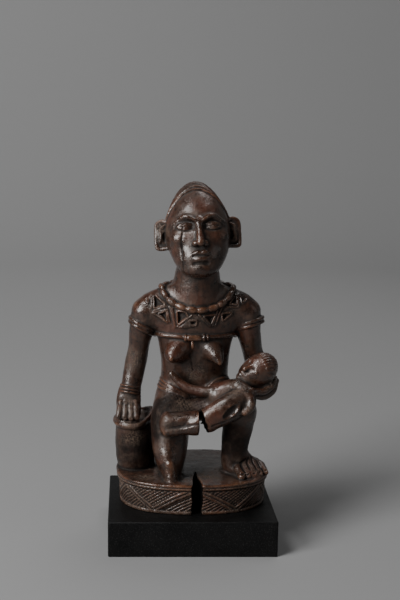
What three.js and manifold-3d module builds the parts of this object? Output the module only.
// A carved wooden maternity figure on a black wooden plinth.
// A mother kneels on her right knee with her left knee raised. Her right hand rests on a pot and her
// left hand holds the head of a child who lies across her lap. She, the child, the pot and the oval
// base with its frieze are carved from one block. Millimetres, +Z up, the front of the figure is -Y,
// and the origin is the centre of the plinth's underside.

import * as THREE from "three";
import { ConvexGeometry } from "three/addons/geometries/ConvexGeometry.js";
import { mergeVertices } from "three/addons/utils/BufferGeometryUtils.js";
import Module from "manifold-3d";

const wasm = await Module();
wasm.setup();

// Driving dimensions
const motherHeight = 237; // from the top of the oval base to the tip of the hair
const baseHeight = 25.5; // the carved oval base
const baseMargin = 2.4; // between what stands on the base and its upper edge
const baseFootInset = 3.2; // the base tapers in towards its underside
const baseRimHeight = 4.6; // the plain band above the frieze
const baseToeHeight = 2.6; // the plain band below the frieze
const bandStep = 0.7; // the plain bands stand proud of the frieze's ribs by this
const friezeDepth = 0.9;
const friezeMargin = 1.1; // between the triangles and the plain bands
const friezeCorner = 0.4; // a triangle is this high at its corners
const friezeWaves = 6; // zigzags round the base
const friezeRibWidth = 3.4; // the plain rib between two triangles
const crackWidth = 8.4; // the drying crack, at the front of the base
const crackDepth = 33; // how far the crack runs back into the base
const legGapTop = 2.2; // the break through the child's legs, at its top and at its bottom
const legGapBottom = 7.5;
const potHeight = 42;
const potRadius = 15.4; // the pot's body
const potFootRadius = 12.6;
const potLip = 2; // the rim stands out from the body by this
const potRimHeight = 2.2;
const potWall = 3.6; // the rim's thickness
const potMouthDepth = 7;
const potLean = 0.1; // the rim rises to the mother's side and to the back
const beadRadius = 2.6; // the necklace
const beadCount = 16;
const cordRadius = 1.5; // the cord tied above the breasts, and the belt
const armletWidth = 3;
const armletThickness = 1.5;
const scarDepth = 2.4; // the triangles cut in the chest
const plinthHeight = 29;
const plinthSideMargin = 4;
const plinthFrontMargin = 11.5;
const plinthBackMargin = 3.5;
const plinthEdge = 0.7; // the rounding of the plinth's edges
const figureOffCentre = 2; // the figure stands a little left of the plinth's middle, as she faces
const sunk = 1.5; // how far the pot reaches into the base

// The pose is drawn in units of a 237th of her height, and its heights are above the base's top.
const unit = motherHeight / 237;
const inUnits = (size) => size / unit;
const potAt = [-48, 3.5];
const stanceReach = { knee: -43.6, toes: 43.6 }; // the front and the back of what stands on the base
const halfWidth = potFootRadius - unit * potAt[0] + baseMargin;
const halfDepth = (unit * (stanceReach.toes - stanceReach.knee)) / 2 + baseMargin;
const baseSquareness = 2.4; // 2 is an ellipse, and more is squarer
const finestDetail = 0.63; // facets smaller than this merge with their neighbours
const circleTurn = Math.PI * 2;

// A point on a smooth curve through numbers, at t from 0 to 1.
function smooth(values, t) {
  const line = new THREE.CatmullRomCurve3(
    values.map((v) => new THREE.Vector3(v, 0, 0)),
    false,
    "catmullrom",
  );
  return line.getPoint(t).x;
}

// A closed mesh as a solid that can be joined and cut.
function solid(geometry) {
  const bare = geometry.clone();
  bare.deleteAttribute("normal");
  bare.deleteAttribute("uv");
  const merged = mergeVertices(bare, 1e-4);
  return new wasm.Manifold(
    new wasm.Mesh({
      numProp: 3,
      vertProperties: merged.attributes.position.array,
      triVerts: new Uint32Array(merged.index.array),
      tolerance: finestDetail,
    }),
  );
}

const join = (solids) => solids.reduce((all, one) => all.add(one));
// Wood is solid: what the joined forms close in between them is filled.
const filled = (made) => join(made.decompose().filter((body) => body.volume() > 0));

// A sphere's rows of vertices, from its top pole to its bottom one, each placed by place(row, angle).
function rows(sides, count, place) {
  const ball = new THREE.SphereGeometry(1, sides, count);
  const at = ball.attributes.position;
  const point = new THREE.Vector3();
  for (let row = 0; row <= count; row++) {
    for (let side = 0; side <= sides; side++) {
      place(row, (side / sides) * circleTurn, point);
      at.setXYZ(row * (sides + 1) + side, point.x, point.y, point.z);
    }
  }
  return ball;
}

// A round limb along a smooth curve through stations of [x, y, z, radius], with round ends.
// wide stretches its section along the side direction, and deep across it.
function limb(stations, { sides = 10, steps = 6, caps = 2, wide = 1, deep = 1, side = [1, 0, 0] } = {}) {
  const path = new THREE.CatmullRomCurve3(
    stations.map(([x, y, z]) => new THREE.Vector3(x, y, z)),
    false,
    "catmullrom",
  );
  const radii = stations.map((station) => station[3]);
  const count = steps + 2 * caps;
  const rings = [];
  for (let row = 0; row <= count; row++) {
    const step = THREE.MathUtils.clamp(row - caps, 0, steps);
    const past = row - caps - step;
    const bend = (Math.abs(past) / caps) * (Math.PI / 2);
    const radius = smooth(radii, step / steps);
    const along = path.getTangent(step / steps);
    const across = new THREE.Vector3(...side).cross(along).normalize();
    rings.push({
      centre: path.getPoint(step / steps).addScaledVector(along, Math.sign(past) * radius * Math.sin(bend)),
      beside: along.clone().cross(across),
      across,
      radius: Math.abs(past) === caps ? 0 : radius * Math.cos(bend),
    });
  }
  const shape = rows(sides, count, (row, angle, point) => {
    const { centre, beside, across, radius } = rings[row];
    point.copy(centre);
    point.addScaledVector(beside, Math.cos(angle) * radius * wide);
    point.addScaledVector(across, Math.sin(angle) * radius * deep);
  });
  return solid(shape);
}

// An ellipsoid.
function blob([x, y, z], [rx, ry, rz], { sides = 14, turn = [0, 0, 0] } = {}) {
  const ball = new THREE.SphereGeometry(1, sides, Math.round(sides * 0.7));
  ball.applyMatrix4(
    new THREE.Matrix4().compose(
      new THREE.Vector3(x, y, z),
      new THREE.Quaternion().setFromEuler(new THREE.Euler(...turn)),
      new THREE.Vector3(rx, ry, rz),
    ),
  );
  return solid(ball);
}

// The point at an angle on a rounded section: half-width, then half-depths to the front and the back.
function sectionPoint(angle, { x, y, wide, front, back, power = 2 }) {
  const c = Math.cos(angle);
  const s = Math.sin(angle);
  const deep = s < 0 ? front : back;
  return [
    x + wide * Math.sign(c) * Math.abs(c) ** (2 / power),
    y + deep * Math.sign(s) * Math.abs(s) ** (2 / power),
  ];
}

// A form built up of levels, from the lowest, each {z, x, y, wide, front, back, power}.
function levelAt(levels, t) {
  const read = (key, usual) => smooth(levels.map((level) => level[key] ?? usual), t);
  return {
    z: read("z"),
    x: read("x", 0),
    y: read("y", 0),
    wide: read("wide"),
    front: read("front"),
    back: read("back"),
    power: read("power", 2),
  };
}
function stack(levels, { sides, steps }) {
  const count = steps + 2;
  const shape = rows(sides, count, (row, angle, point) => {
    const level = levelAt(levels, THREE.MathUtils.clamp(count - 1 - row, 0, steps) / steps);
    const isPole = row === 0 || row === count;
    const [x, y] = isPole ? [level.x, level.y] : sectionPoint(angle, level);
    point.set(x, y, level.z);
  });
  return solid(shape);
}
// The level at a height, found by halving.
function levelAtHeight(levels, height) {
  let [under, over] = [0, 1];
  for (let halving = 0; halving < 24; halving++) {
    const t = (under + over) / 2;
    if (levelAt(levels, t).z < height) under = t;
    else over = t;
  }
  return levelAt(levels, under);
}

// The carved base: an oval drum whose wall holds a frieze of triangles between two plain bands.
const friezeLow = baseToeHeight;
const friezeHigh = baseHeight - baseRimHeight;

// How far inside the upper edge the wall lies, at a height above the underside.
function wallInset(height) {
  const taper = baseFootInset * (1 - height / baseHeight);
  const isBand = height <= friezeLow || height >= friezeHigh;
  return taper + (isBand ? 0 : bandStep);
}
function baseOutline(turnShare, inset) {
  return sectionPoint(turnShare * circleTurn, {
    x: 0,
    y: 0,
    wide: halfWidth - inset,
    front: halfDepth - inset,
    back: halfDepth - inset,
    power: baseSquareness,
  });
}

function baseDrum() {
  const edge = 0.002 * baseHeight; // the height of the step from a band to the frieze
  const heights = [0, friezeLow, friezeLow + edge, friezeHigh - edge, friezeHigh, baseHeight];
  const count = heights.length + 1;
  const shape = rows(36, count, (row, angle, point) => {
    const height = heights[THREE.MathUtils.clamp(count - 1 - row, 0, heights.length - 1)];
    const isPole = row === 0 || row === count;
    const [x, y] = isPole ? [0, 0] : baseOutline(angle / circleTurn, wallInset(height));
    point.set(x, y, height);
  });
  return solid(shape);
}

// A shallow recess in the base's wall between two heights that vary along it.
function wallPanel(from, to, lower, upper) {
  const columns = 3;
  const proud = 4 * friezeDepth;
  const box = new THREE.BoxGeometry(1, 1, 1, columns, 1, 1);
  const at = box.attributes.position;
  for (let i = 0; i < at.count; i++) {
    const share = at.getX(i) + 0.5;
    const height = at.getY(i) > 0 ? upper(share) : lower(share);
    const inset = wallInset(height) + (at.getZ(i) > 0 ? -proud : friezeDepth);
    const [x, y] = baseOutline(from + (to - from) * share, inset);
    at.setXYZ(i, x, y, height);
  }
  return solid(box);
}

// The frieze: triangles standing and hanging by turns, with plain ribs between them.
function frieze() {
  const low = friezeLow + friezeMargin;
  const high = friezeHigh - friezeMargin;
  const perimeter = Math.PI * (halfWidth + halfDepth);
  const halfWave = 0.5 / friezeWaves;
  const halfRib = friezeRibWidth / perimeter / 2;
  const tallest = high - low - friezeCorner;
  const reach = (share) => friezeCorner + tallest * (1 - Math.abs(2 * share - 1));
  const panels = [];
  for (let i = 0; i < friezeWaves * 2; i++) {
    const from = (i - 1) * halfWave + halfRib;
    const to = (i + 1) * halfWave - halfRib;
    const hangs = i % 2 === 0;
    const lower = hangs ? (share) => high - reach(share) : () => low;
    const upper = hangs ? () => high : (share) => low + reach(share);
    panels.push(wallPanel(from, to, lower, upper));
  }
  return panels;
}

// The drying crack: a wedge out of the front of the base, with one straight side.
function crack() {
  const past = crackWidth;
  const front = -halfDepth - past;
  const apex = -halfDepth + crackDepth;
  const left = -crackWidth * 0.25;
  const wedge = new THREE.Shape([
    new THREE.Vector2(left, front),
    new THREE.Vector2(left + crackWidth, front),
    new THREE.Vector2(left + crackWidth * 0.85, -halfDepth + crackDepth * 0.2),
    new THREE.Vector2(left + crackWidth * 0.58, apex),
    new THREE.Vector2(left + crackWidth * 0.5, apex),
    new THREE.Vector2(left, -halfDepth + crackDepth * 0.3),
  ]);
  const depth = baseHeight + 2 * past;
  const cutter = new THREE.ExtrudeGeometry(wedge, { depth, bevelEnabled: false });
  return solid(cutter.translate(0, 0, -past));
}

// The pot: turned about its own axis, with a shallow mouth.
function pot() {
  const rimRadius = potRadius + potLip;
  const mouthRadius = rimRadius - potWall;
  const softening = 0.25 * potWall; // the rim's edges are worn round
  const profile = [
    [0, -sunk],
    [potFootRadius, -sunk],
    [potFootRadius, 0],
    [potRadius * 0.95, potHeight * 0.2],
    [potRadius, potHeight * 0.48],
    [potRadius * 0.985, potHeight * 0.82],
    [rimRadius - softening, potHeight - 2 * potRimHeight],
    [rimRadius, potHeight - potRimHeight],
    [rimRadius - softening, potHeight],
    [mouthRadius + softening, potHeight],
    [mouthRadius, potHeight - softening],
    [mouthRadius - softening, potHeight - potMouthDepth],
    [0, potHeight - potMouthDepth],
  ];
  const turned = new THREE.LatheGeometry(
    profile.map(([r, z]) => new THREE.Vector2(r, z)),
    14,
  );
  turned.rotateX(Math.PI / 2);
  const at = turned.attributes.position;
  for (let i = 0; i < at.count; i++) {
    const share = Math.max(at.getZ(i) / potHeight, 0);
    at.setZ(i, at.getZ(i) + potLean * share ** 4 * (at.getX(i) + at.getY(i)));
  }
  return solid(turned.translate(unit * potAt[0], unit * potAt[1], 0));
}

// The mother's trunk, from between the thighs to the slope of the shoulders.
const trunkLevels = [
  { z: 40, x: 2, y: 9, wide: 17, front: 11, back: 13 },
  { z: 47, x: 2, y: 10, wide: 25.5, front: 14, back: 19 },
  { z: 58, x: 2, y: 10, wide: 29.5, front: 17, back: 22 },
  { z: 72, x: 2, y: 9, wide: 28, front: 17, back: 19 },
  { z: 86, x: 2, y: 7, wide: 27.6, front: 16, back: 15 },
  { z: 99, x: 2, y: 5.5, wide: 28.8, front: 17, back: 15 },
  { z: 112, x: 2, y: 4.5, wide: 31.5, front: 18, back: 16 },
  { z: 121, x: 2.2, y: 4, wide: 36.5, front: 17.5, back: 16 },
  { z: 130, x: 2.5, y: 4, wide: 42, front: 16.5, back: 15.5 },
  { z: 138, x: 2.5, y: 4, wide: 44.5, front: 15, back: 14.5 },
  { z: 144.5, x: 2.5, y: 4, wide: 42, front: 12.5, back: 12.5 },
  { z: 149, x: 2.5, y: 4, wide: 34, front: 10.5, back: 11 },
  { z: 152.5, x: 2.5, y: 3.5, wide: 24, front: 9, back: 10 },
].map((level) => ({ ...level, power: 2.25 }));

const trunk = () => stack(trunkLevels, { sides: 16, steps: 10 });

const neck = () =>
  limb([[2.5, 3, 133, 18.5], [2.7, 3, 151, 20.2], [2.9, 1.5, 160, 18.4], [3, -2, 172, 15.5]], {
    sides: 12,
    steps: 3,
    caps: 1,
  });

// A raised band tied round the trunk, at a height given for each share of a turn.
function tied(heightAt) {
  const rings = [
    { rise: 1.2, proud: -0.6 },
    { rise: 0, proud: 1 },
    { rise: -1.2, proud: -0.6 },
  ];
  const count = rings.length + 1;
  const inside = levelAtHeight(trunkLevels, heightAt(0));
  const shape = rows(16, count, (row, angle, point) => {
    const ring = rings[row - 1];
    if (!ring) {
      point.set(inside.x, inside.y, heightAt(0.25));
      return;
    }
    const height = heightAt(angle / circleTurn);
    const { x, y, wide, front, back, power } = levelAtHeight(trunkLevels, height);
    const proud = ring.proud * inUnits(cordRadius);
    const grown = { x, y, wide: wide + proud, front: front + proud, back: back + proud, power };
    point.set(...sectionPoint(angle, grown), height + ring.rise * inUnits(cordRadius));
  });
  return solid(shape);
}

// The breasts are cones that point outwards.
function breasts() {
  return [
    limb([[-10.5, -7, 102.5, 9.5], [-16, -14.5, 99.5, 6], [-18.6, -19, 97.8, 2.6]], { sides: 8, steps: 2 }),
    limb([[13.5, -7, 103.5, 9.5], [18, -14.5, 98.5, 5.8], [20.2, -20.4, 94, 2]], { sides: 8, steps: 2 }),
  ];
}

// The arms, each from the shoulder to the wrist. The right one reaches down to the pot's rim.
const handLift = inUnits(potHeight) - 42;
function arms() {
  const right = [
    [-39.5, 4, 129, 12.2],
    [-42, 5.5, 114, 10.3],
    [-44, 8, 101 + 0.2 * handLift, 8.8],
    [-46, 9.5, 90 + 0.5 * handLift, 8.6],
    [-48.5, 8.5, 78 + 0.8 * handLift, 8.9],
    [-51.2, 5, 65 + handLift, 8.2],
  ];
  const left = [
    [44.5, 4, 129, 12.2],
    [45.8, 5, 113, 10.2],
    [49, 8, 100, 8.5],
    [51.5, 9, 91, 8.6],
    [53.5, 2, 82, 8.4],
    [55, -6, 74.5, 7.8],
  ];
  return [right, left].map((stations) => limb(stations, { sides: 8, steps: 7 }));
}

// Rings round the upper arms and the right wrist: short lengths of a thicker arm.
function armlets() {
  const worn = ([x, y, z], armRadius, lean) => {
    const half = inUnits(armletWidth / 2);
    const radius = armRadius + inUnits(armletThickness);
    const stations = [
      [x - half * lean, y, z + half, radius],
      [x + half * lean, y, z - half, radius],
    ];
    return limb(stations, { sides: 8, steps: 1, caps: 1 });
  };
  return [
    worn([-41.3, 5, 117.5], 10.5, -0.55),
    worn([46.3, 5, 119.5], 10.5, 0.42),
    worn([-51, 5.6, 66.8 + handLift], 7.8, 0.25),
  ];
}

// The right hand lies over the pot's mouth with its fingers down on the rim.
function rightHand() {
  const digit = { sides: 5, steps: 2, caps: 1 };
  const fingers = [-60, -54.9, -49.7, -44.8].map((x, i) => {
    const knuckle = -52.5 + (x + 52.5) * 0.72;
    const tipReach = -10 + 0.6 * Math.abs(i - 1.5);
    return limb([[knuckle, 0.5, 57, 2.7], [x, -6.5, 49, 2.7], [x, tipReach, 42.6, 2.4]], digit);
  });
  const palm = limb([[-51.3, 4.5, 65, 7.6], [-52.3, 1, 56, 8.4], [-52.4, -3.5, 50.5, 8]], {
    sides: 9,
    steps: 2,
    wide: 1.12,
    deep: 0.62,
  });
  const thumb = limb([[-45.5, 2, 60, 3], [-41.6, 0, 52, 3], [-41.4, 0.5, 44, 2.6]], digit);
  return [palm, thumb, ...fingers].map((piece) => piece.translate([0, 0, handLift]));
}

// The left hand is a cup under and behind the child's head.
function leftHand() {
  const fingers = [0, 1, 2, 3].map((i) => {
    const y = -6.5 - 5.2 * i;
    return limb([[52, y, 62.5, 2.9], [61, y, 64.5, 3.3], [65.6, y, 72, 3.3], [65.6, y, 79.5, 2.2]], {
      sides: 5,
      steps: 3,
      caps: 1,
      side: [0, 1, 0],
    });
  });
  return [blob([55, -13.5, 72.5], [12.8, 12, 11.4], { sides: 8 }), ...fingers];
}

// The right leg kneels: thigh down to the knee, and the shin lies back along the base.
function rightLeg() {
  const thigh = [
    [-14, 6, 58, 16.5],
    [-18.6, -8, 46, 15.6],
    [-20, -15, 32, 14.4],
    [-19, -19.5, 16, 12],
    [-17, -22.5, 5.5, 10],
  ];
  const shin = [
    [-19, -18, 8, 9.5],
    [-17.5, 4, 9.5, 9.6],
    [-15.5, 24, 7.5, 7.2],
    [-15, 33, 6.4, 6],
  ];
  return [
    limb(thigh, { sides: 10, steps: 6 }),
    limb(shin, { sides: 8, steps: 3 }),
    limb([[-15, 32, 7.5, 5.6], [-14.5, 37, 4.5, 4.6], [-14, 40, 2, 3.4]], { sides: 6, steps: 2, wide: 1.35 }),
  ];
}

// The left leg: thigh forward to the raised knee, then down to the foot, which points outwards.
function leftLeg() {
  const thigh = [
    [14, 7, 60, 17],
    [27, -9, 60, 15.5],
    [36, -21, 56, 13],
    [37, -23, 53, 12.2],
  ];
  const shin = [
    [37, -22, 54, 12.4],
    [35.6, -18, 42, 12],
    [33.8, -14.5, 31, 11.3],
    [32.8, -12, 20, 10.5],
    [32, -10, 8, 10.4],
  ];
  const toes = [0, 1, 2, 3, 4].map((i) => {
    const x = 37.5 + 5.1 * i;
    const y = -27.5 + 10 * (i / 4) ** 1.6;
    const r = i === 0 ? 3.3 : 2.7 - 0.12 * i;
    return limb([[x - 5.4, y + 8, 4.6, r], [x, y, 2.6, r], [x + 0.8, y - 2, 1.6, r * 0.9]], {
      sides: 5,
      steps: 1,
      caps: 1,
    });
  });
  return [
    limb(thigh, { sides: 10, steps: 3 }),
    limb(shin, { sides: 10, steps: 5 }),
    limb([[31, -4, 2, 8.5], [36, -11, 3.6, 10.5], [44, -19.5, 1.5, 10.4], [47, -22, 0.6, 8.6]], {
      sides: 8,
      steps: 3,
      side: [0.9, 0.44, 0],
      wide: 1.24,
      deep: 0.8,
    }),
    ...toes,
  ];
}

// The head is built upright about its own centre, then leant back and set on the neck.
const headLevels = [
  { z: -36.5, y: -13, wide: 7, front: 6.5, back: 8 },
  { z: -33.5, y: -12, wide: 12.5, front: 10.5, back: 13 },
  { z: -27, y: -8, wide: 18, front: 15.5, back: 17 },
  { z: -19, y: -5, wide: 22, front: 18.5, back: 20 },
  { z: -10, y: -2, wide: 24.6, front: 21.5, back: 24 },
  { z: 0, y: 0, wide: 25.6, front: 23, back: 27 },
  { z: 9, y: 1, wide: 24.9, front: 22.4, back: 28 },
  { z: 17, y: 2, wide: 22.9, front: 20.4, back: 27 },
  { z: 25, y: 4, wide: 19.4, front: 17.8, back: 23.5 },
  { z: 33, y: 6, wide: 14.4, front: 14, back: 18 },
  { z: 38.5, y: 7.5, wide: 9.2, front: 9, back: 12 },
  { z: 41.8, y: 8.5, wide: 3.4, front: 3.4, back: 4.5 },
];
const headAt = [2.4, -2.5, 196];
const headLean = THREE.MathUtils.degToRad(-15);
const headTilt = THREE.MathUtils.degToRad(-4); // towards her right shoulder
const browHeight = 9; // brow, nose and chin divide the face, from the hair's edge, in thirds
const eyeHeight = 3;
const noseHeight = -13.5;
const mouthHeight = -21.5;

// The plain face: brows, almond eyes, a short nose, full lips and a round chin.
function face() {
  const parts = [];
  for (const hand of [-1, 1]) {
    parts.push(
      limb(
        [
          [hand * 3.4, -23.2, browHeight - 2, 1.5],
          [hand * 11, -20.8, browHeight + 1.5, 1.8],
          [hand * 19.5, -14, browHeight - 3, 1.3],
        ],
        { sides: 4, steps: 3, caps: 1, side: [0, 0, 1] },
      ),
      blob([hand * 10.4, -19.4, eyeHeight], [6.6, 4.2, 3.2], {
        sides: 7,
        turn: [0, hand * 0.14, -hand * 0.4],
      }),
      blob([hand * 3.4, -25.6, noseHeight + 1], [2.6, 2.8, 2.2], { sides: 5 }),
    );
  }
  const lip = (height, bow, radius) =>
    limb(
      [
        [-8.6, -20.4, height - bow, radius * 0.5],
        [-3.4, -24, height, radius],
        [3.4, -24, height, radius],
        [8.6, -20.4, height - bow, radius * 0.5],
      ],
      { sides: 6, steps: 4, caps: 1, side: [0, 0, 1] },
    );
  parts.push(
    limb([[0, -21.6, browHeight - 1, 2], [0, -24.6, -3, 2.4], [0, -26.4, noseHeight + 1.6, 3.1]], {
      sides: 6,
      steps: 2,
      caps: 1,
    }),
    lip(mouthHeight + 1.9, 1.6, 2.1),
    lip(mouthHeight - 2, -1.6, 2.3),
    blob([0, -17.6, -31], [8, 6.4, 5.4], { sides: 8 }),
  );
  return parts;
}

// An ear: a flat shell with a raised rim round its front.
function ear(hand) {
  const rim = [
    [23.5, 0, 9, 2],
    [30.5, 1.5, 11, 2],
    [33.6, 2, 3, 2],
    [32.6, 1.5, -7, 2],
    [29, 0.5, -11.5, 2],
    [22.5, -0.5, -11, 2],
  ];
  const own = rim.map(([x, y, z, r]) => [hand * x, y, z, r]);
  return [
    blob([hand * 27, 2.6, -0.5], [7.4, 2.6, 11], { sides: 5 }),
    limb(own, { sides: 4, steps: 5, caps: 1, side: [0, 1, 0] }),
  ];
}

// The hair's edge: a low band over the forehead and down to the ears.
function hairEdge() {
  const templeHeight = 7;
  const archHeight = 24.5;
  const stations = [];
  for (let i = 0; i <= 8; i++) {
    const angle = (i / 8) * Math.PI;
    const height = templeHeight + archHeight * Math.sin(angle) ** 0.85;
    const { y, wide, front } = levelAtHeight(headLevels, height);
    const x = THREE.MathUtils.clamp(25.4 * Math.cos(angle), -0.99 * wide, 0.99 * wide);
    stations.push([x, y - front * Math.sqrt(1 - (x / wide) ** 2), height, 1.1]);
  }
  return limb(stations, { sides: 4, steps: 10, caps: 1, side: [0, 1, 0] });
}

function head() {
  const parts = [stack(headLevels, { sides: 16, steps: 12 }), ...face(), ...ear(-1), ...ear(1), hairEdge()];
  const lean = new THREE.Matrix4().makeRotationX(headLean);
  const pose = new THREE.Matrix4().makeRotationY(headTilt).multiply(lean).setPosition(...headAt);
  return join(parts).transform(pose.elements);
}

// The necklace: long beads end to end round the foot of the neck, lower in front and close behind.
function necklace() {
  const radius = inUnits(beadRadius);
  const proud = radius / 2;
  const path = (share) => {
    const c = Math.cos(share * circleTurn);
    const s = Math.sin(share * circleTurn);
    const back = Math.max(s, 0);
    const wide = 28.7 * (1 - 0.3 * back) + proud;
    const deep = (s < 0 ? 17.2 : 14.8) + proud;
    const rise = s < 0 ? 15 * s : 8 * s ** 4;
    return [3.2 + wide * c, 4 + deep * s, 150.6 + rise];
  };
  const beadShare = 0.5; // the straight part of a bead, as a share of the distance between beads
  const beads = [];
  for (let i = 0; i < beadCount; i++) {
    const from = path((i + (1 - beadShare) / 2) / beadCount);
    const to = path((i + (1 + beadShare) / 2) / beadCount);
    const stations = [[...from, radius], [...to, radius]];
    beads.push(limb(stations, { sides: 4, steps: 1, caps: 1, side: [0, 0, 1] }));
  }
  return beads;
}

// The cord above the breasts, with a long bead and two rings at the middle.
function chestCord() {
  const height = 112;
  return [
    tied((share) => height + 0.4 + 1.5 * Math.abs(Math.cos(share * circleTurn))),
    limb([[-3.5, -14.8, height, 2.3], [4.5, -14.8, height, 2.3]], {
      sides: 6,
      steps: 1,
      caps: 1,
      side: [0, 0, 1],
    }),
    blob([8.6, -14.2, height], [1.7, 2.4, 3], { sides: 6 }),
    blob([-7.4, -14.2, height], [1.7, 2.2, 2.6], { sides: 6 }),
  ];
}

// The belt of the loincloth, higher at the hips.
const belt = () => tied((share) => 66 + 12 * Math.abs(Math.cos(share * circleTurn)));

// The triangles cut in the chest, the same on both sides: pyramids whose points lie inside it.
function scars() {
  const middle = 1.6;
  const triangles = [
    [[33.4, 148], [25.2, 142.5], [33, 138]],
    [[34, 134], [25, 137.5], [22.5, 128]],
    [[15.2, 132.5], [15.2, 124], [5.8, 133]],
    [[43.5, 144.5], [37.5, 141.5], [40, 134]],
  ];
  const outside = 4; // how far a pyramid reaches out of the chest
  const cutters = [];
  for (const hand of [-1, 1]) {
    for (const triangle of triangles) {
      const corners = triangle.map(([x, z]) => onChest(middle + hand * x, z));
      const apex = corners[0].clone().add(corners[1]).add(corners[2]).divideScalar(3);
      apex.y += inUnits(scarDepth);
      const far = corners.map((corner) => {
        const ray = corner.clone().sub(apex).normalize();
        return corner.clone().addScaledVector(ray, outside);
      });
      cutters.push(solid(new ConvexGeometry([apex, ...far])));
    }
  }
  return cutters;
}
function onChest(x, height) {
  const level = levelAtHeight(trunkLevels, height);
  const share = Math.min(Math.abs(x - level.x) / level.wide, 0.98);
  const y = level.y - level.front * (1 - share ** level.power) ** (1 / level.power);
  return new THREE.Vector3(x, y, height);
}

// The child's head, built upright about its centre and then laid in the mother's hand.
function childHead() {
  const parts = [
    blob([0, 0, 0], [12.4, 12.6, 16.5], { sides: 8 }),
    limb([[0, -11, 1, 1.5], [0, -13.2, -4.5, 2]], { sides: 5, steps: 1, caps: 1 }),
    limb([[-4.5, -9.2, -9.6, 1.3], [0, -11, -9.4, 2], [4.5, -9.2, -9.6, 1.3]], {
      sides: 4,
      steps: 2,
      caps: 1,
      side: [0, 0, 1],
    }),
  ];
  for (const hand of [-1, 1]) {
    parts.push(
      blob([hand * 5, -10.4, 0.5], [3.1, 1.9, 1.6], { sides: 5 }),
      blob([hand * 12, 1.5, -3], [2, 3.2, 4.2], { sides: 5 }),
    );
  }
  const turn = new THREE.Euler(-0.15, 0.87, -0.5, "ZYX");
  const pose = new THREE.Matrix4().makeRotationFromEuler(turn).setPosition(51.6, -18, 87);
  return join(parts).transform(pose.elements);
}

// The child lies on its back across the lap, with its head at the mother's left.
function child() {
  const farArm = [
    [33, -23, 76, 4.4],
    [21, -23, 71.5, 4.6],
    [9, -21, 70, 4.4],
    [-3, -18, 71.5, 4],
    [-11, -15.5, 76.5, 3.4],
    [-18, -13, 83, 2.6],
  ];
  const nearArm = [
    [36.5, -32, 77, 4.2],
    [43, -36, 73.5, 4],
    [46.4, -38, 68, 3.8],
    [43.5, -41, 60.5, 3.4],
    [38.5, -42.5, 57, 3.4],
  ];
  const thigh = [
    [0, -36.5, 47.5, 8.4],
    [7.5, -37.5, 51, 9],
    [18, -37, 57.2, 11],
    [28, -35.5, 63.2, 11.6],
    [36, -32, 67.5, 10],
  ];
  const body = [
    [45, -20, 79, 6],
    [38, -20, 73.5, 8],
    [30, -21, 71, 9.5],
    [20, -20, 67, 10.5],
  ];
  const upright = [0, 0, 1];
  const shinForm = { sides: 7, steps: 1, deep: 1.5, side: upright };
  return [
    childHead(),
    limb(body, { sides: 8, steps: 2 }),
    limb(farArm, { sides: 5, steps: 6, caps: 1, side: upright }),
    limb(nearArm, { sides: 5, steps: 4, caps: 1, side: [0, 1, 0] }),
    limb(thigh, { sides: 9, steps: 4, deep: 0.8, side: upright }),
    limb([[12, -33, 54.5, 4.9], [-22, -31.5, 50.4, 5.1]], shinForm),
    limb([[12, -34, 46.6, 5.4], [-21.5, -32, 41.6, 5.6]], shinForm),
    blob([-23, -31, 46.5], [5.4, 8, 10], { sides: 7 }),
  ];
}

// The mother's lap, which carries the child.
const lap = () =>
  limb([[-16, -18, 48, 10], [2, -14, 54, 9], [22, -20, 58, 12]], { sides: 6, steps: 2, caps: 1 });

// The break through the child's legs: upright on the feet's side and slanting on the other.
function legBreak() {
  const left = 2;
  const bottom = 34;
  const top = 72;
  const shape = new THREE.Shape([
    new THREE.Vector2(left, bottom),
    new THREE.Vector2(left + inUnits(legGapBottom), bottom),
    new THREE.Vector2(left + inUnits(legGapTop), top),
    new THREE.Vector2(left, top),
  ]);
  const back = -26;
  const cutter = new THREE.ExtrudeGeometry(shape, { depth: 40, bevelEnabled: false });
  return solid(cutter.rotateX(Math.PI / 2).translate(0, back, 0));
}

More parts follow.
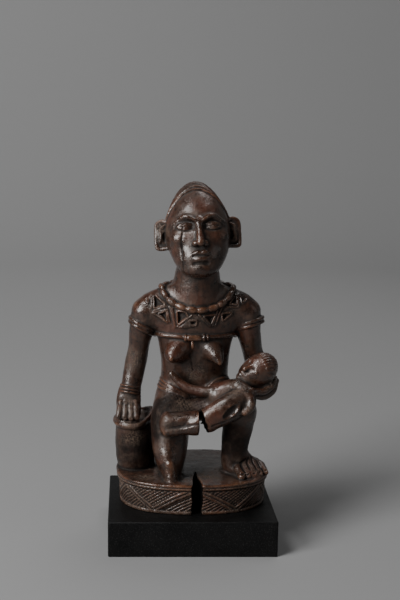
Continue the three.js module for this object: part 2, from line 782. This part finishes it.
// The whole carving, with its underside at height 0.
function carving() {
  const posed = [
    trunk(),
    neck(),
    ...breasts(),
    ...arms(),
    ...armlets(),
    ...rightHand(),
    ...leftHand(),
    ...rightLeg(),
    ...leftLeg(),
    lap(),
    head(),
    ...chestCord(),
    belt(),
    ...child(),
  ];
  const cut = [legBreak(), ...scars()].reduce((left, cutter) => left.subtract(cutter), join(posed));
  const mother = join([cut, ...necklace()]).scale(unit);
  const standing = mother.add(pot()).translate([0, 0, baseHeight]);
  const drum = frieze().reduce((left, panel) => left.subtract(panel), baseDrum());
  const size = 4 * halfWidth;
  const below = solid(new THREE.BoxGeometry(size, size, size).translate(0, 0, -size / 2));
  return filled(drum.add(standing).subtract(below).subtract(crack()));
}

// The plinth: a block with slightly rounded edges.
function plinth() {
  const wide = 2 * (halfWidth + plinthSideMargin);
  const deep = 2 * halfDepth + plinthFrontMargin + plinthBackMargin;
  const x = wide / 2 - plinthEdge;
  const y = deep / 2 - plinthEdge;
  const outline = new THREE.Shape();
  outline.absarc(x, y, plinthEdge, 0, Math.PI / 2);
  outline.absarc(-x, y, plinthEdge, Math.PI / 2, Math.PI);
  outline.absarc(-x, -y, plinthEdge, Math.PI, 1.5 * Math.PI);
  outline.absarc(x, -y, plinthEdge, 1.5 * Math.PI, circleTurn);
  return new THREE.ExtrudeGeometry(outline, { depth: plinthHeight, bevelEnabled: false, curveSegments: 2 });
}

// A joined solid back as a mesh to show.
function shown(made) {
  const { vertProperties, triVerts } = made.getMesh();
  const geometry = new THREE.BufferGeometry();
  geometry.setAttribute("position", new THREE.BufferAttribute(vertProperties, 3));
  geometry.setIndex(new THREE.BufferAttribute(triVerts, 1));
  geometry.computeVertexNormals();
  return geometry;
}

const darkWood = new THREE.MeshStandardMaterial({ color: 0x3a2119, roughness: 0.38, metalness: 0 });
const blackPaint = new THREE.MeshStandardMaterial({ color: 0x0c0c0c, roughness: 0.6, metalness: 0 });

const figure = new THREE.Mesh(shown(carving()), darkWood);
figure.name = "maternity_figure";
figure.position.set(figureOffCentre, (plinthFrontMargin - plinthBackMargin) / 2, plinthHeight);

const block = new THREE.Mesh(plinth(), blackPaint);
block.name = "plinth";

const part = new THREE.Group();
part.add(block, figure);

export default part;
